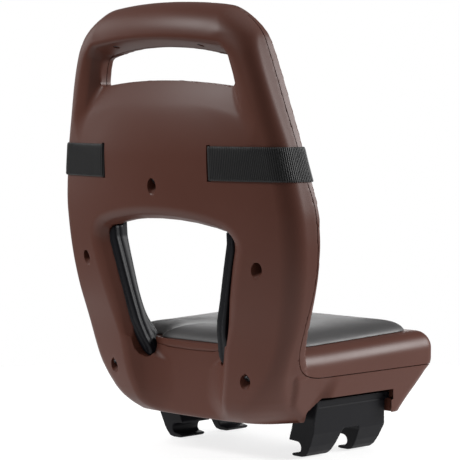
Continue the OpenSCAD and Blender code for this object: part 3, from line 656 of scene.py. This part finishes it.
def pad_field(x, y, z):
    ax = np.abs(x)
    c = Dt(z)
    F = At(z) + c * x * x
    fs = np.sqrt(1 + (At.slope(z) + Dt.slope(z) * x * x) ** 2 + (2 * c * x) ** 2)
    q = pad_inner(x, z)
    o = pad_outer(x, z)
    # cushion in front of the shell, crowned, with a soft roll round its edges and a channel inside them
    edge = np.minimum(-o, q + 2)
    rise = 9.7 - 3.6 * np.exp(-np.maximum(edge, 0) / 5.0) - 1.3 * np.exp(-((edge - 17) / 2.6) ** 2)
    rise = rise - 0.9 * np.exp(-(ch_a(x, z) / 2.2) ** 2)
    t = (y - F) / fs
    cush = rmax(np.maximum(o, -(q - 0.4 * np.maximum(t - 5.5, 0))), t - rise, 3.5)
    cush = np.maximum(cush, 0.75 - t)
    cush = np.maximum(cush, 122.8 - z)
    # legs that line the window: a flat face, a groove, then a bead along the inner side
    s = y - leg_y(z)
    deep = leg_deep(z)
    k = deep / 16.0
    off = 0.2 + 0.7 * np.exp(-((s - 5.2 * k) / 1.3) ** 2) + 0.5 * np.exp(-((s - 12.6 * k) / 0.9) ** 2) - 0.3 * np.exp(-((s - 8.8 * k) / 2.0) ** 2)
    past = np.maximum(s - deep + 1.2, 0)
    off = off + np.minimum(0.5 * past * past, 1.3 * past)
    out = np.maximum(hole(x, z), 121 - z)
    low = leg_end(ax, z) + 0.3
    out = np.minimum(out, low)
    leg = rmax(rmax(off - q, out, 1.6), -(s - 0.8 * np.exp(-((q - 7.2) / 1.1) ** 2)), 2.4)
    leg = np.maximum(leg, np.where(z > 124, t - 4.0, y - 45.7))
    leg = np.maximum(leg, z - 250)
    return np.minimum(cush, leg)


V, Fc = contour(pad_field, symmetric(144.0, 1.55), graded((6.0, 60.0, 1.0)), graded((95.5, 260, 1.7), (260, 375, 2.4)), True)
pad_back = piece("pad_back", V, Fc, M_PAD, sharp=50.0)
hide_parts("back_pad")

# ------------------------------------------------------------------ seat pad
pad_plan = Outline(fillet([[0, 48.6], [50, 48.6], [56.5, 52], [58, 60], [66, 63.0], [105, 63.5], [115, 68], [119.6, 78], [121, 95], [121, 160], [120.5, 238], [118, 249],
                           [111, 255], [101, 256.6], [50, 257.8], [0, 258.2], [-50, 257.8], [-101, 256.6], [-111, 255], [-118, 249], [-120.5, 238], [-121, 160],
                           [-121, 95], [-119.6, 78], [-115, 68], [-105, 63.5], [-66, 63.0], [-58, 60], [-56.5, 52], [-50, 48.6]], 9.0, 5), 0, 1.0, 40)


def seat_pad_field(x, y, z):
    d = -pad_plan(x, y)
    base = 119.5 + 5 * np.maximum(0, (y - 100) / 160)
    dd = np.maximum(d, 0)
    crown = 2.8 * (1 - np.exp(-dd / 2.2)) + 12.6 * (1 - np.exp(-dd / 17.0))
    # a shallow dish where the rider sits
    crown = crown - 1.2 * np.exp(-((np.abs(x) - 38) / 32) ** 2 - ((y - 135) / 46) ** 2)
    top = (z - (base + 0.45 + crown)) / np.sqrt(1 + (1.3 * np.exp(-dd / 2.6)) ** 2)
    f = rmax(-d, top, 1.0)
    return np.maximum(f, base + 0.45 - z)


V, Fc = contour(seat_pad_field, symmetric(123.0, 1.9), graded((46, 260.5, 1.9)), graded((118.6, 139.5, 0.85)), True)
pad_seat = piece("pad_seat", V, Fc, M_SEAT, sharp=48.0)
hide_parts("seat_pad")

# ------------------------------------------------------------------ rack clamps
RAIL_X, RAIL_Z, RAIL_R = 91.5, 10.5, 6.0
rail_arc = [[RAIL_X + RAIL_R * math.cos(math.radians(a)), RAIL_Z + RAIL_R * math.sin(math.radians(a))] for a in range(-90, 91, 15)]
prof = fillet([[124, 64.2], [122, 54], [116, 26], [110.2, 12.5], [106, 5.5], [102.4, 1.6], [96.5, 0.15], [87, 0.3], [84.2, 1.0], [83.5, 2.2], [84.6, 3.4]], 1.2, 4) + rail_arc \
    + fillet([[82.0, 16.5], [81.0, 18.2], [84.5, 28], [88, 38], [88, 49.9], [22.2, 49.9], [22.2, 57.7], [112, 57.7], [113.5, 64.2]], 0.8, 3)
clamp_prof = Outline(prof, 0, 0.4, 12)
clamp_side = Outline(fillet([[107, 64.2], [104.7, 61], [104.7, 42], [106, 26], [107.4, 8], [108.6, 0.1], [140.8, 0.1], [144.8, 3.4], [148, 14], [150.9, 24.6], [153.6, 28.3], [176, 28.3],
                             [178.2, 24], [179.2, 8], [180.2, 0.1], [209.6, 0.1], [213.8, 3.6], [216.3, 14], [218.5, 24], [218.6, 27], [215.4, 40], [212.4, 52],
                             [213, 54.2], [218.4, 55.0], [218.8, 60], [214, 64.2]], 1.2, 4), 0, 0.4, 12)


def clamp_field(x, y, z):
    f = rmax(clamp_prof(x, z), clamp_side(y, z), 0.9)
    for by in (128, 196):
        slot = np.hypot(np.maximum(np.abs(x - 56) - 10, 0), y - by) - 3.4
        f = np.maximum(f, -np.maximum(slot, np.abs(z - 54) - 12))
    # moulded groove cut under the top edge and a round ejector mark
    xo = 116 + (z - 26) * 8 / 38.3
    dx = (x - xo) / 1.02
    rib = np.maximum(np.abs(z - 55.5) - 1.0, np.abs(y - 161) - 52)
    f = np.maximum(f, -np.maximum(rib, -0.55 - dx))
    mark = np.hypot(y - 211, z - 59.6) - 2.6
    f = np.maximum(f, -np.maximum(mark, -0.7 - dx))
    return f


V, Fc = contour(clamp_field, np.arange(20.3, 126, 1.05), np.arange(102.9, 221, 1.05), np.arange(-1.15, 66.5, 0.95))
V[:, 2] = np.maximum(V[:, 2], 0.02)
right = piece("clamp_plate_right", V, Fc, M_CLAMP, "right_clamp", 40.0)
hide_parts("clamp_right")
V2 = V.copy()
V2[:, 0] *= -1
left = piece("clamp_plate_left", V2, Fc[:, ::-1].copy(), M_CLAMP, "left_clamp", 40.0)
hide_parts("clamp_left")

# ------------------------------------------------------------------ belt
BELT_Z, BELT_W, BELT_T = 310.0, 35.0, 1.6
LIFT = 1.25


def face_y(x, z):
    return Rt(z) + ARC * x * x


def belt_row(z):
    """Middle line of the webbing at one height, from the anchor bar to the buckle."""
    w, yf, r, yp = Wt(z), pchip(rim_y, z), Ct(z), Pt(z)
    w, yf, r, yp = float(w), float(yf), float(r), float(yp)
    wd = w - 2.4
    xr = wd - r
    fy = lambda x: float(face_y(x, z))
    mid = float(face_y(66, BELT_Z))
    p = [[66.3, mid + 8], [70, mid + 7.9], [74, mid + 7.4], [76.7, fy(77) + 5.6], [78.2, fy(78) + 3.0], [78.9, fy(79) + 1], [79.9, fy(80) - 0.5], [81.6, fy(82) - LIFT]]
    p += [[x, fy(x) - LIFT] for x in np.linspace(88, xr, 7)]
    for i in range(1, 9):
        g = math.radians(90 * i / 8)
        x = xr + r * math.sin(g)
        p.append([xr + (r + LIFT) * math.sin(g), fy(min(x, wd)) + r - (r + LIFT) * math.cos(g)])
    yc = p[-1][1]
    p += [[w + LIFT, max(yp, yc + 4)], [w + LIFT, yf - 3.2], [w + LIFT - 0.25, yf - 1.6], [w + 0.4, yf + 0.1], [w - 1.3, yf + 1.0], [w - 4, yf + 1.25]]
    y1, y2 = yf + 1.25, 45.2
    for x in np.linspace(150, 68, 9):
        s_ = min(1.0, max(0.0, (150 - x) / 82))
        e = s_ * s_ * (3 - 2 * s_)
        p.append([x, y1 * (1 - e) + y2 * e])
    p += [[60, y2], [50, y2], [39.4, y2]]
    return np.array(p)


def resample(p, n):
    """Evenly spaced points on a smooth curve through p."""
    d = np.r_[0, np.cumsum(np.linalg.norm(np.diff(p, axis=0), axis=1))]
    u = np.linspace(0, d[-1], n)
    fine = np.stack([pchip(np.stack([d, p[:, i]], 1), u) for i in range(2)], 1)
    return fine, d[-1]


def belt_mesh():
    n, m = 760, 16
    v = np.linspace(-1, 1, m + 1)
    v = np.sin(v * math.pi / 2) * 0.35 + v * 0.65
    zs = BELT_Z + v * (BELT_W / 2 - 0.15)
    rows = []
    for z in zs:
        c, length = resample(belt_row(z), n)
        rows.append(c)
    C = np.stack(rows, 1)
    Z = np.broadcast_to(zs[None, :], C.shape[:2]).copy()
    s = np.linspace(0, length, n)
    # keep the run outside the shell at one distance from it, so the webbing hugs the corner
    P = np.stack([C[..., 0], C[..., 1], Z], -1)
    k = np.searchsorted(s, [22.0, 30.0])
    rim = np.argmax(np.cumsum(C[:, m // 2, 0] >= C[:, m // 2, 0].max() - 1e-6) > 0)
    last = rim + int(3 * n / length)
    hug = sstep(16.0, 26.0, s) * (1 - sstep(s[last] - 6, s[last] + 4, s))
    for _ in range(3):
        flat = P.reshape(-1, 3)
        d = body_field(flat[:, 0], flat[:, 1], flat[:, 2])
        g = grad(body_field, flat, 0.3)
        g[:, 2] = 0
        g /= np.maximum(np.linalg.norm(g, axis=1, keepdims=True), 1e-6)
        move = np.clip(LIFT - d, -1.5, 1.5)[:, None] * g
        P = P + move.reshape(P.shape) * hug[:, None, None]
    kern = np.hanning(15); kern /= kern.sum()
    for j in range(m + 1):
        for i in range(2):
            q = np.pad(P[:, j, i], 7, mode="edge")
            q[:7] = 2 * P[0, j, i] - P[7:0:-1, j, i]
            q[-7:] = 2 * P[-1, j, i] - P[-2:-9:-1, j, i]
            P[:, j, i] = np.convolve(q, kern, mode="valid")
    T = np.gradient(P[..., :2], axis=0)
    T /= np.maximum(np.linalg.norm(T, axis=-1, keepdims=True), 1e-9)
    Nn = np.stack([T[..., 1], -T[..., 0]], -1)
    rib = np.cos(2 * math.pi * s / 2.1)[:, None]
    jag = 0.10 * np.cos(2 * math.pi * s / 1.9)[:, None] + 0.06 * np.sin(s * 0.83)[:, None]
    edge = np.clip((1 - np.abs(v)) / 0.06, 0, 1)[None, :]
    half = 0.52 + 0.18 * np.sqrt(edge)
    half = np.where(np.abs(v)[None, :] > 0.999, 0.30, half)
    amp = 0.26 * edge
    flow = 0.05 * np.sin(v * 40)[None, :]
    pos = [half + amp * rib + flow, -(half - amp * rib * -1 + flow)]
    out = []
    for h in (half + amp * rib + flow, -(half + amp * rib + flow)):
        Q = P.copy()
        Q[..., :2] += Nn * h[..., None]
        Q[..., 2] += np.sign(v)[None, :] * np.where(np.abs(v) > 0.9, 1, 0)[None, :] * jag
        out.append(Q)
    verts = np.concatenate([np.concatenate([out[0], out[1][:, ::-1]], 1)]).reshape(-1, 3)
    c = 2 * (m + 1)
    i = np.arange(n - 1)[:, None]
    j = np.arange(c)[None, :]
    a = i * c + j
    b = i * c + (j + 1) % c
    faces = np.stack([b, b + c, a + c, a], -1).reshape(-1, 4)
    kk = np.arange(m)
    caps = [np.stack([kk, kk + 1, c - 2 - kk, c - 1 - kk], 1), np.stack([kk + 1, kk, c - 1 - kk, c - 2 - kk], 1) + (n - 1) * c]
    return verts, np.concatenate([faces] + caps)


V, Fc = belt_mesh()
strap_r = piece("strap_right", V, Fc[:, ::-1].copy(), M_WEB, sharp=70.0)
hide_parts("belt_right")
V2 = V.copy()
V2[:, 0] *= -1
strap_l = piece("strap_left", V2, Fc, M_WEB, sharp=70.0)
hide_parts("belt_left")


# ------------------------------------------------------------------ buckle and keeper
def rbox(x, y, z, lo, hi, r):
    """Box between two corners with rounded edges."""
    c = [(a + b) / 2 for a, b in zip(lo, hi)]
    h = [(b - a) / 2 - r for a, b in zip(lo, hi)]
    q = [np.abs(p - ci) - hi_ for p, ci, hi_ in zip((x, y, z), c, h)]
    return np.sqrt(sum(np.maximum(v, 0) ** 2 for v in q)) + np.minimum(np.maximum(np.maximum(q[0], q[1]), q[2]), 0) - r


BY = 39.0


def socket_field(x, y, z):
    y, z = y - BY, z - BELT_Z
    az = np.abs(z)
    waist = 1.6 * np.exp(-((x - 3) / 9) ** 2)
    f = rbox(x, y, az + waist, (-14, 0.1, -30), (16.4, 11.9, 21.9), 2.6)
    f = np.minimum(f, rbox(x, y, z, (13, 2, -21), (38.9, 10.4, 21), 1.2))
    f = np.maximum(f, -rbox(x, y, z, (17.5, 4.8, -18.6), (35.2, 7.6, 18.6), 0.3))
    f = np.maximum(f, -rbox(x, y, z, (19.5, -5, -17.6), (24.0, 20, 17.6), 0.8))
    f = np.maximum(f, -rbox(x, y, z, (28.5, -5, -17.6), (33.0, 20, 17.6), 0.8))
    f = np.maximum(f, -rbox(x, y, z, (-20, 2.5, -15), (13, 9.5, 15), 0.5))
    f = np.maximum(f, -rbox(x, y, az, (-8, 2.5, 12), (6, 9.5, 40), 0.8))
    # a shallow ring groove cut into the face
    f = np.maximum(f, -np.maximum(np.abs(np.hypot(x - 2, z * 0.8) - 9) - 0.5, 11.3 - y))
    return f


def tongue_field(x, y, z):
    y, z = y - BY, z - BELT_Z
    az = np.abs(z)
    f = rbox(x, y, z, (-20, 1, -19.9), (-14.2, 11, 19.9), 1.4)
    f = np.minimum(f, rbox(x, y, z, (-16, 4, -4), (9.4, 8, 4), 1.2))
    f = np.minimum(f, rbox(x, y, az, (-16, 4, 9.8), (1.5, 8, 14.6), 1.0))
    f = np.minimum(f, rbox(x, y, az, (-6, 4, 13.4), (4, 8, 20.6), 1.6))
    f = np.minimum(f, rbox(x, y, z, (-37.9, 1.5, -20.8), (-34.8, 10.5, 20.8), 1.2))
    f = np.minimum(f, rbox(x, y, az, (-37.9, 1.5, 18.2), (-18, 10.5, 21.0), 1.1))
    f = np.minimum(f, rbox(x, y, z, (-29.5, 2.6, -20), (-26.0, 4.9, 20), 0.9))
    return f


def keeper_field(x, y, z):
    y, z = y - 45.2, z - BELT_Z
    f = rbox(x, y, z, (57, -1.9, -19.4), (67, 3.7, 19.4), 0.8)
    f = np.maximum(f, -rbox(x, y, z, (50, -0.95, -18.0), (80, 2.75, 18.0), 0.5))
    return f + 0.12 * np.cos(2 * np.pi * (x - 62) / 2.0)


for nm, fld, lo, hi, h, m, node_, sl in (
        ("buckle_half_socket", socket_field, (-15.2, BY - 1, BELT_Z - 23.2), (40.2, BY + 13, BELT_Z + 23.2), 0.6, M_BUCKLE, "buckle_socket", "buckle_black"),
        ("buckle_half_tongue", tongue_field, (-39.2, BY, BELT_Z - 22.2), (11, BY + 12, BELT_Z + 22.2), 0.6, M_BUCKLE, "buckle_tongue", "buckle_black"),
        ("strap_keeper", keeper_field, (56, 42.5, BELT_Z - 20.4), (68, 50, BELT_Z + 20.4), 0.45, M_WEB, "belt_keeper", "webbing")):
    V, Fc = contour(fld, *[np.arange(a, b + h, h) for a, b in zip(lo, hi)])
    o = piece(nm, V, Fc, m, sharp=42.0)
    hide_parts(node_)


# ------------------------------------------------------------------ turned parts
def turned(profiles, n=40, hexes=()):
    """Turned solids: each is (closed profile of (r, t) from axis to axis, origin, axis direction)."""
    VV, FF = [], []
    base = 0
    for idx, (pr, at, d) in enumerate(profiles):
        d = Vector(d).normalized()
        u = d.orthogonal().normalized()
        w = d.cross(u)
        at = Vector(at)
        rings = []
        for r, t in pr:
            c = at + d * t
            if r < 1e-6:
                VV.append(c[:]); rings.append([base]); base += 1
                continue
            ring = []
            for k in range(n):
                a = 2 * math.pi * k / n
                rr = r
                if idx in hexes:
                    half = math.radians(30)
                    rr = min(r, hexes[idx] / math.cos(((a + half) % (2 * half)) - half))
                p = c + u * (rr * math.cos(a)) + w * (rr * math.sin(a))
                VV.append(p[:]); ring.append(base); base += 1
            rings.append(ring)
        loop = list(zip(rings, rings[1:]))
        if len(rings[0]) > 1:
            loop.append((rings[-1], rings[0]))
        for A, B in loop:
            for k in range(n):
                a0, a1 = A[k % len(A)], A[(k + 1) % n % len(A)]
                b0, b1 = B[k % len(B)], B[(k + 1) % n % len(B)]
                if len(A) == 1:
                    FF.append([a0, b0, b1])
                elif len(B) == 1:
                    FF.append([a0, b0, a1])
                else:
                    FF.append([a0, b0, b1, a1])
    return VV, FF


def turned_piece(name, profiles, material, replaces, body="seat", hexes={}, sharp=35.0):
    VV, FF = turned(profiles, hexes=hexes)
    me = bpy.data.meshes.new(name)
    me.from_pydata([(x / 1000, (y - YS) / 1000, z / 1000) for x, y, z in VV], [], FF)
    bm = bmesh.new()
    bm.from_mesh(me)
    bmesh.ops.recalc_face_normals(bm, faces=bm.faces)
    bm.to_mesh(me)
    bm.free()
    me.polygons.foreach_set("use_smooth", np.ones(len(me.polygons), bool))
    me.set_sharp_from_angle(angle=math.radians(sharp))
    o = bpy.data.objects.new(name, me)
    bpy.context.scene.collection.objects.link(o)
    me.materials.append(material)
    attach(o, body)
    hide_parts(replaces)
    return o


def screw_profile(l, k=1.0):
    p = [(0, 1.5), (1.0, 1.5), (1.45, 1.3), (1.6, 0.1), (3.3, 0.0), (3.8, 0.25), (4.0, 0.8), (4.0, 2.2), (3.7, 2.6), (2.3, 2.6)]
    z = 3.4
    while z < l - 1.8:
        p += [(1.85, z), (2.24, z + 0.55), (1.85, z + 1.1)]
        z += 1.2
    p += [(1.8, l - 1.2), (0.8, l + 1.3), (0, l + 1.35)]
    return [(r * k, t * k) for r, t in p]


tilt = Vector((0, S2, S2))
turned_piece("screws_back", [(screw_profile(17), Vector(b) + tilt * 8.4, tilt) for b in BORES], M_SCREW, "back_screws")
turned_piece("screws_handle", [(screw_profile(20, 0.8), Vector((sx, -5, 429.4)), (0, 0, 1)) for sx in (-63.5, 63.5)], M_SCREW, "handle_screws")
turned_piece("screws_base", [(screw_profile(26), Vector((sx, 252, 67.4)), (0, 0, 1)) for sx in (-70, 70)], M_SCREW, "base_screws")
SPOTS = [(sx, sy) for sx in (-46, 46) for sy in (128, 196)]
bolt = [(0, 69.1), (3.2, 69.0), (5.6, 68.2), (6.8, 67.0), (7.0, 66.3), (6.9, 66.05), (3.0, 66.05)]
z_ = 53.0
bolt += [(3.0, z_)]
while z_ > 42.2:
    bolt += [(2.72, z_ - 0.35), (2.98, z_ - 0.7)]
    z_ -= 0.9
bolt += [(2.5, 41.1), (0, 41.05)]
turned_piece("bolts_clamp", [(bolt, (sx, sy, 0), (0, 0, 1)) for sx, sy in SPOTS], M_ZINC, "clamp_bolts")
washer = [(3.25, 48.1), (3.4, 48.0), (7.2, 48.0), (7.48, 48.25), (7.48, 49.35), (7.2, 49.6), (3.4, 49.6), (3.25, 49.45)]
turned_piece("washers_clamp", [(washer, (sx, sy, 0), (0, 0, 1)) for sx, sy in SPOTS], M_ZINC, "clamp_washers")
nut = [(3.05, 43.3), (3.5, 43.0), (5.0, 43.02), (5.75, 43.6), (5.75, 47.4), (5.0, 47.98), (3.5, 48.0), (3.05, 47.7)]
turned_piece("nuts_clamp", [(nut, (sx, sy, 0), (0, 0, 1)) for sx, sy in SPOTS], M_ZINC, "clamp_nuts", hexes={i: 4.98 for i in range(4)})
plate_screw = [(0, 61.6), (1.3, 61.6), (1.5, 60.45), (3.3, 60.4), (4.3, 62.6), (4.3, 63.0), (1.8, 63.05)]
z_ = 64.0
while z_ < 71.0:
    plate_screw += [(1.6, z_), (1.85, z_ + 0.5), (1.6, z_ + 1.0)]
    z_ += 1.1
plate_screw += [(1.2, 72.3), (0, 72.45)]
turned_piece("screws_carrier", [(plate_screw, (sx, sy, 0), (0, 0, 1)) for sx in (-78, 78) for sy in (112, 210)], M_ZINC, "carrier_screws")

# ------------------------------------------------------------------ carried-over CAD pieces
for n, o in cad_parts.items():
    m = M_CLAMP
    if n in ("carrier_plate", "belt_anchor_bars"):
        m = M_ZINC
        bev = o.modifiers.new("soft_edges", "BEVEL")
        bev.width = 0.0003
        bev.segments = 2
        bev.limit_method = "ANGLE"
        bev.angle_limit = math.radians(50)
    o.data.materials.clear()
    o.data.materials.append(m)

# ------------------------------------------------------------------ stage
bpy.ops.mesh.primitive_circle_add(vertices=96, radius=0.75, fill_type="NGON", location=(0, 0, -0.0005))
floor = bpy.context.object
floor.name = "floor"
fm, fnt, fb_ = principled("floor_paper", (0.30, 0.30, 0.30), 0.9, 0.1)
fb_.inputs["Emission Color"].default_value = (1, 1, 1, 1)
fb_.inputs["Emission Strength"].default_value = 0.78
fn = add(fnt, "ShaderNodeTexNoise", Scale=60.0, Detail=2.0)
fbp = add(fnt, "ShaderNodeBump", Strength=0.02, Distance=0.001)
fnt.links.new(fn.outputs["Fac"], fbp.inputs["Height"])
fnt.links.new(fbp.outputs[0], fb_.inputs["Normal"])
floor.data.materials.append(fm)
floor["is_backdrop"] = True

world = bpy.data.worlds.new("studio")
bpy.context.scene.world = world
world.use_nodes = True
wt = world.node_tree
bg = wt.nodes["Background"]
bg.inputs["Color"].default_value = (1, 1, 1, 1)
bg.inputs["Strength"].default_value = 1.0
soft = wt.nodes.new("ShaderNodeBackground")
soft.inputs["Color"].default_value = (1, 1, 1, 1)
soft.inputs["Strength"].default_value = 0.20
lp = wt.nodes.new("ShaderNodeLightPath")
mx = wt.nodes.new("ShaderNodeMixShader")
wt.links.new(lp.outputs["Is Camera Ray"], mx.inputs[0])
wt.links.new(soft.outputs[0], mx.inputs[1])
wt.links.new(bg.outputs[0], mx.inputs[2])
wt.links.new(mx.outputs[0], wt.nodes["World Output"].inputs["Surface"])


def area(name, at, to, size, power, colour=(1, 1, 1)):
    l = bpy.data.lights.new(name, "AREA")
    l.shape = "RECTANGLE"
    l.size, l.size_y = size
    l.energy = power
    l.color = colour
    o = bpy.data.objects.new(name, l)
    bpy.context.scene.collection.objects.link(o)
    o.location = at
    o.rotation_mode = "QUATERNION"
    o.rotation_quaternion = (Vector(to) - Vector(at)).to_track_quat("-Z", "Y")
    return o


area("key", (-1.2, -1.9, 2.0), (0, 0, 0.28), (1.0, 1.0), 62)
area("left", (-2.1, -0.4, 0.9), (0, 0, 0.25), (1.2, 1.4), 8)
area("right_front", (1.75, 2.05, 1.2), (0, 0, 0.32), (1.3, 1.3), 105)
area("top", (0.2, 0.5, 2.3), (0, 0, 0.2), (1.6, 1.6), 9)
area("far", (-1.5, 1.7, 0.55), (0, 0.05, 0.13), (1.6, 0.6), 12)
bpy.context.scene.view_settings.view_transform = "Standard"

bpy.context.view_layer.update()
total = 0
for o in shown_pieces():
    k = len(o.data.polygons) * 2 if o.type == "MESH" else 0
    total += k
    if k > 20000:
        print("triangles", o.name, k)
print("triangles in all", total)
